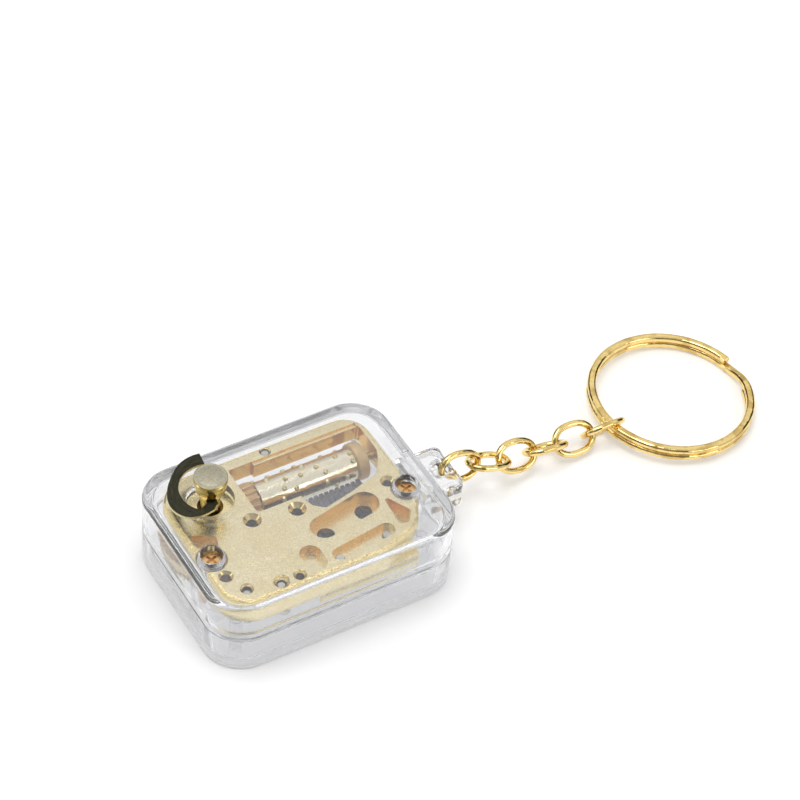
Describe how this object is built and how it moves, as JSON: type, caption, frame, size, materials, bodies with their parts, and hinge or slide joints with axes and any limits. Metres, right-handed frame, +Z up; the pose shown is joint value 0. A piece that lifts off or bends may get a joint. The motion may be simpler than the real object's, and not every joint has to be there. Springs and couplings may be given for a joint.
{
  "type": "cylinder music box",
  "caption": "Wind-up cylinder music movement under the lid of a clear rounded case, with a black winding lever on a post, an oval-link chain and a split key ring.",
  "frame": {"origin": "centre of the flat underside of the clear case", "axes": "+X along the case to the lug, chain and key ring; +Y across the case to the drum side; +Z up, out of the lid that the winding post comes through"},
  "size_m": [0.1109, 0.033, 0.0196],
  "materials": {
    "clear_acrylic": "clear moulded acrylic",
    "gold_plate": "satin pale-gold plating on a die casting",
    "polished_gold": "bright gold plating",
    "spring_steel": "ground spring steel",
    "turned_brass": "turned brass",
    "drum_plate": "pale plated drum",
    "black_steel": "blackened steel",
    "brown_plastic": "moulded acetal"
  },
  "bodies": {
    "case": {"lower_case": "clear_acrylic", "upper_case": "clear_acrylic", "case_screw_left": "gold_plate", "case_screw_right": "gold_plate", "bedplate": "gold_plate", "rear_screw": "spring_steel", "bearing_cap_left": "gold_plate", "bearing_cap_right": "gold_plate", "comb": "spring_steel", "comb_screw_left": "spring_steel", "comb_screw_right": "spring_steel", "governor_frame": "gold_plate", "governor_screw_left": "spring_steel", "governor_screw_right": "spring_steel", "click_screw": "spring_steel"},
    "winding_knob": {"winding_post": "turned_brass", "winding_lever": "black_steel", "ratchet_wheel": "turned_brass"},
    "click_lever": {"click": "spring_steel"},
    "barrel": {"spring_barrel": "turned_brass", "barrel_gear": "turned_brass", "crown_gear": "brown_plastic", "mainspring": "spring_steel"},
    "music_drum": {"drum": "drum_plate", "drum_gear": "brown_plastic", "drum_collar": "gold_plate", "drum_shaft": "spring_steel"},
    "first_mover": {"first_pinion": "spring_steel", "first_wheel": "turned_brass"},
    "second_mover": {"second_pinion": "spring_steel", "worm_wheel": "turned_brass"},
    "worm_mover": {"worm_shaft": "spring_steel", "fly": "turned_brass"},
    "link_body_1": {"chain_link_1": "polished_gold"},
    "link_body_2": {"chain_link_2": "polished_gold"},
    "link_body_3": {"chain_link_3": "polished_gold"},
    "link_body_4": {"chain_link_4": "polished_gold"},
    "link_body_5": {"chain_link_5": "polished_gold"},
    "link_body_6": {"chain_link_6": "polished_gold"},
    "ring_body": {"key_ring": "polished_gold"}
  },
  "joints": [
    {"name": "winding_turn", "type": "hinge", "parent": "case", "child": "winding_knob", "pos_m": [-0.01205, 0.00715, 0.01], "axis": [0, 0, 1], "range_deg": [-1440, 0]},
    {"name": "click_swing", "type": "hinge", "parent": "case", "child": "click_lever", "pos_m": [-0.00885, 0.0044, 0.0084], "axis": [0, 0, 1], "range_deg": [0, 14]},
    {"name": "barrel_spin", "type": "hinge", "parent": "case", "child": "barrel", "pos_m": [-0.01205, 0.00715, 0.004], "axis": [0, 0, 1], "continuous": true},
    {"name": "drum_turn", "type": "hinge", "parent": "case", "child": "music_drum", "pos_m": [0, 0.00715, 0.00915], "axis": [1, 0, 0], "continuous": true},
    {"name": "first_mover_turn", "type": "hinge", "parent": "case", "child": "first_mover", "pos_m": [-0.00808, -0.00031, 0.005], "axis": [0, 0, 1], "continuous": true},
    {"name": "second_mover_turn", "type": "hinge", "parent": "case", "child": "second_mover", "pos_m": [-0.01195, -0.00356, 0.005], "axis": [0, 0, 1], "continuous": true},
    {"name": "governor_spin", "type": "hinge", "parent": "case", "child": "worm_mover", "pos_m": [-0.01195, -0.00691, 0.00455], "axis": [1, 0, 0], "continuous": true},
    {"name": "link_1_swing", "type": "hinge", "parent": "case", "child": "link_body_1", "pos_m": [0.0292, 0, 0.00812], "axis": [-0.0875, 0.9649, -0.2475], "range_deg": [-25, 35]},
    {"name": "link_2_swing", "type": "hinge", "parent": "link_body_1", "child": "link_body_2", "pos_m": [0.03386, 0.00006, 0.00669], "axis": [0.26, 0.2956, 0.9193], "range_deg": [-35, 35]},
    {"name": "link_3_swing", "type": "hinge", "parent": "link_body_2", "child": "link_body_3", "pos_m": [0.03954, 0.00013, 0.00508], "axis": [0.1293, -0.8176, 0.561], "range_deg": [-35, 35]},
    {"name": "link_4_swing", "type": "hinge", "parent": "link_body_3", "child": "link_body_4", "pos_m": [0.04532, 0.0002, 0.0039], "axis": [-0.0988, -0.644, -0.7586], "range_deg": [-35, 35]},
    {"name": "link_5_swing", "type": "hinge", "parent": "link_body_4", "child": "link_body_5", "pos_m": [0.05117, 0.00027, 0.00313], "axis": [-0.06, 0.6684, -0.7413], "range_deg": [-35, 35]},
    {"name": "link_6_swing", "type": "hinge", "parent": "link_body_5", "child": "link_body_6", "pos_m": [0.05706, 0.00034, 0.00277], "axis": [0.0004, -0.8291, -0.5591], "range_deg": [-35, 35]},
    {"name": "ring_swing", "type": "hinge", "parent": "link_body_6", "child": "ring_body", "pos_m": [0.06078, 0.00041, 0.00271], "axis": [0, 1, 0], "range_deg": [-45, 45]}
  ],
  "couplings": [
    {"joint": "drum_turn", "follows": "barrel_spin", "ratio": 2},
    {"joint": "first_mover_turn", "follows": "barrel_spin", "ratio": -4},
    {"joint": "second_mover_turn", "follows": "barrel_spin", "ratio": 12},
    {"joint": "governor_spin", "follows": "barrel_spin", "ratio": -120}
  ]
}
